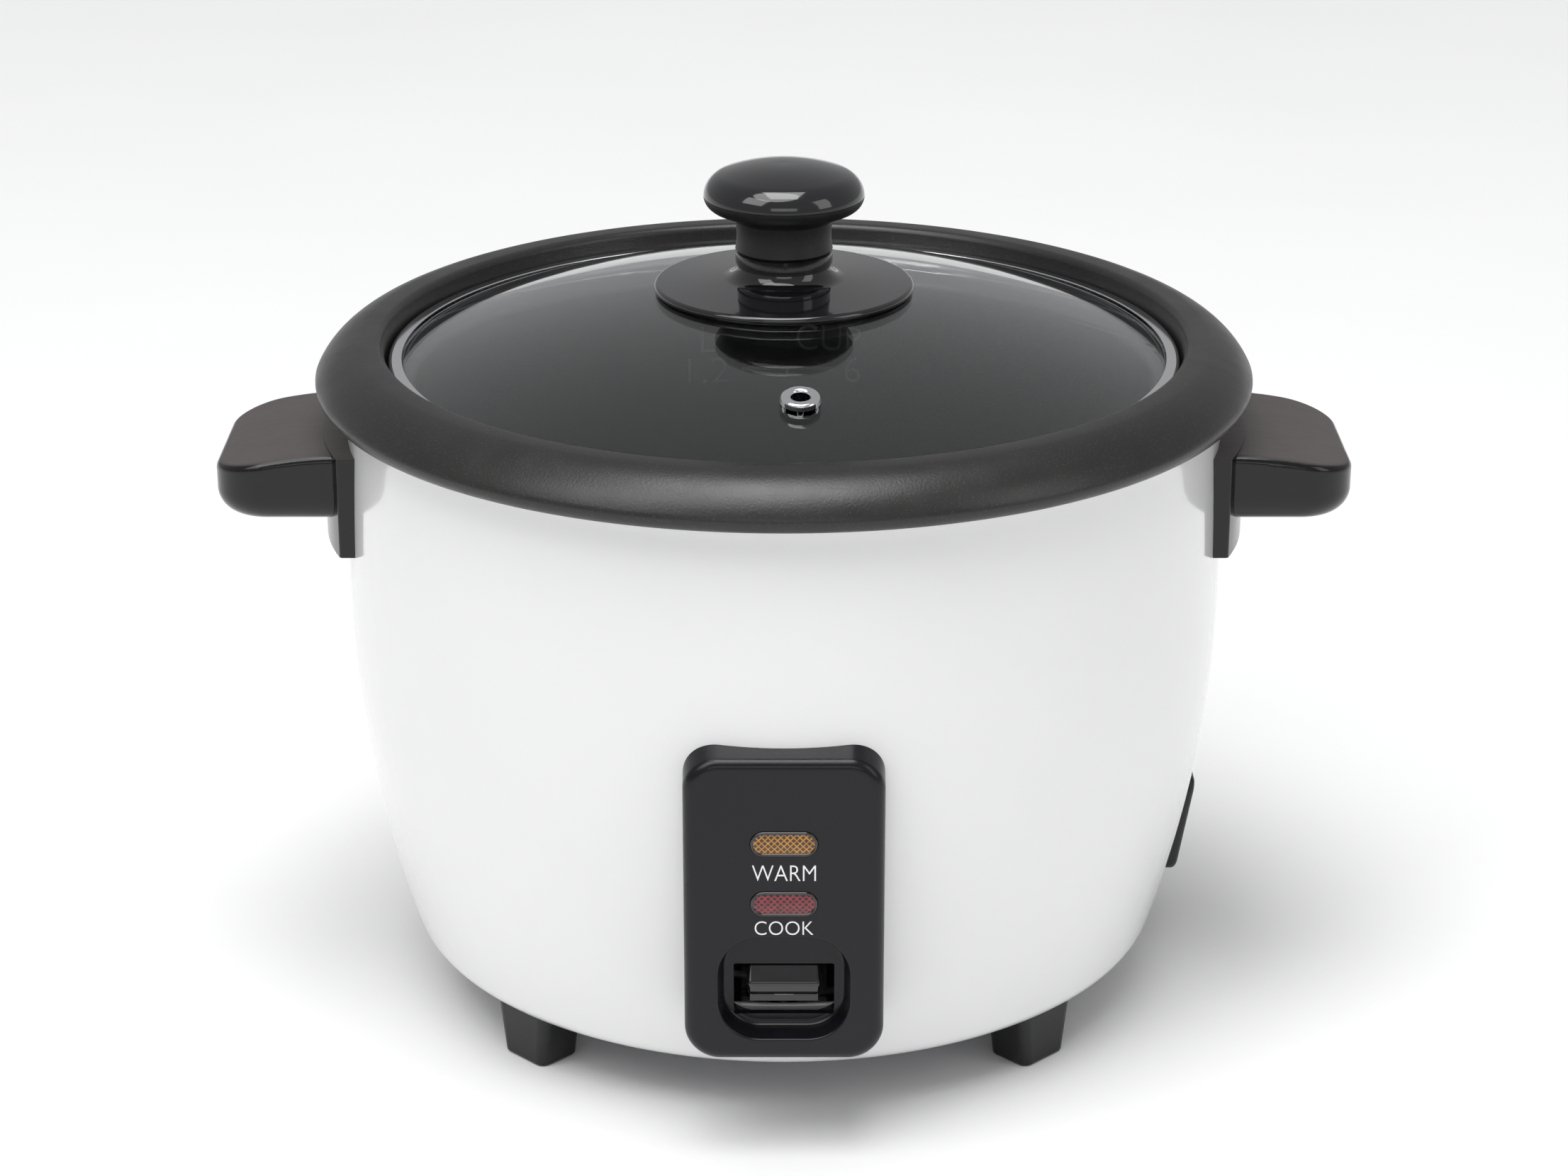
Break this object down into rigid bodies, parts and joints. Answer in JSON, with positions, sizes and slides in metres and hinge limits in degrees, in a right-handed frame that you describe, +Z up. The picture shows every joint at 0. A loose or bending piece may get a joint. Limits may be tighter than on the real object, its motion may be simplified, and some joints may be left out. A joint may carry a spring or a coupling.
{
  "type": "rice cooker",
  "caption": "Round electric rice cooker with a lift-out non-stick pot, a glass lid with a knob, side handles and a front panel with a cook lever and lamps.",
  "frame": {"origin": "on the surface it stands on, at the foot of the pot's axis", "axes": "+Z up along the pot's axis, +X towards the right handle, -Y out of the control panel"},
  "size_m": [0.2992, 0.2476, 0.2255],
  "materials": {
    "white_paint": "glossy white baked paint",
    "liner_paint": "satin white-grey baked paint",
    "pot_metal": "matt anodised outside, black non-stick coat inside and on the lip",
    "black_plastic": "satin to glossy moulded black",
    "amber_lens": "translucent, with a fine diamond pattern",
    "red_lens": "translucent, with a fine diamond pattern",
    "clear_glass": "clear toughened glass",
    "polished_steel": "polished stainless steel",
    "plain_steel": "zinc-plated steel",
    "cast_aluminium": "cast, turned on top",
    "element_sheath": "heat-stained sheath",
    "ferrite": "dark sintered ferrite",
    "fibre_board": "phenolic board",
    "brass": "plain",
    "white_nylon": "plain",
    "silicone": "plain silicone"
  },
  "bodies": {
    "body": {"outer_shell": "white_paint", "inner_liner": "liner_paint", "bottom_plate": "plain_steel", "feet": "black_plastic", "foot_screws": "plain_steel", "chassis_posts": "plain_steel", "chassis_screws": "plain_steel", "handle_left": "black_plastic", "handle_right": "black_plastic", "handle_screws": "plain_steel", "control_panel": "black_plastic", "panel_screws": "plain_steel", "warm_lens": "amber_lens", "cook_lens": "red_lens", "lamp_board": "fibre_board", "neon_lamps": "clear_glass", "lamp_resistors": "white_nylon", "heating_plate": "cast_aluminium", "heating_element": "element_sheath", "plate_posts": "plain_steel", "plate_screws": "plain_steel", "thermostat_cup": "plain_steel", "thermostat_bracket": "plain_steel", "bracket_screws": "plain_steel", "keep_warm_thermostat": "plain_steel", "thermal_fuse": "white_nylon", "fuse_clip": "plain_steel", "lever_bracket": "plain_steel", "lever_pin": "plain_steel", "switch_bracket": "plain_steel", "microswitch": "black_plastic", "inlet_housing": "black_plastic", "inlet_pins": "brass", "inlet_screws": "plain_steel", "wire_live": "silicone", "wire_neutral": "silicone", "wire_switched": "silicone", "sensor_spring": "plain_steel", "release_spring": "plain_steel"},
    "lever": {"lever_arm": "plain_steel", "cook_switch": "black_plastic"},
    "magnet_set": {"magnet": "plain_steel", "pull_rod": "plain_steel"},
    "sensor_set": {"sensor_cap": "cast_aluminium", "ferrite_disc": "ferrite"},
    "plunger": {"switch_plunger": "white_nylon"},
    "pot": {"inner_pot": "pot_metal"},
    "lid": {"lid_glass": "clear_glass", "lid_rim": "polished_steel", "vent_grommet": "polished_steel", "knob_base": "black_plastic", "knob_neck": "black_plastic", "knob_top": "black_plastic", "knob_gasket": "silicone", "knob_screw": "plain_steel"}
  },
  "joints": [
    {"name": "pot_lift", "type": "slide", "parent": "body", "child": "pot", "axis": [0, 0, 1], "range_m": [0, 0.114]},
    {"name": "lid_lift", "type": "slide", "parent": "pot", "child": "lid", "axis": [0, 0, 1], "range_m": [0, 0.056]},
    {"name": "cook_lever", "type": "hinge", "parent": "body", "child": "lever", "pos_m": [0, -0.06, 0.03], "axis": [-1, 0, 0], "range_deg": [-5, 0], "stiffness_Nm_per_rad": 0.12, "springref_deg": 8.59},
    {"name": "magnet_rise", "type": "slide", "parent": "body", "child": "magnet_set", "axis": [0, 0, 1], "range_m": [0, 0.0053], "deforming": ["release_spring"]},
    {"name": "plunger_press", "type": "slide", "parent": "body", "child": "plunger", "axis": [0, 0, 1], "range_m": [-0.0022, 0]},
    {"name": "sensor_rise", "type": "slide", "parent": "body", "child": "sensor_set", "axis": [0, 0, 1], "range_m": [0, 0.0031], "deforming": ["sensor_spring"]}
  ],
  "couplings": [
    {"joint": "magnet_rise", "follows": "cook_lever", "m_per_rad": -0.06},
    {"joint": "plunger_press", "follows": "cook_lever", "m_per_rad": 0.025},
    {"joint": "sensor_rise", "follows": "pot_lift", "ratio": 0.026}
  ]
}
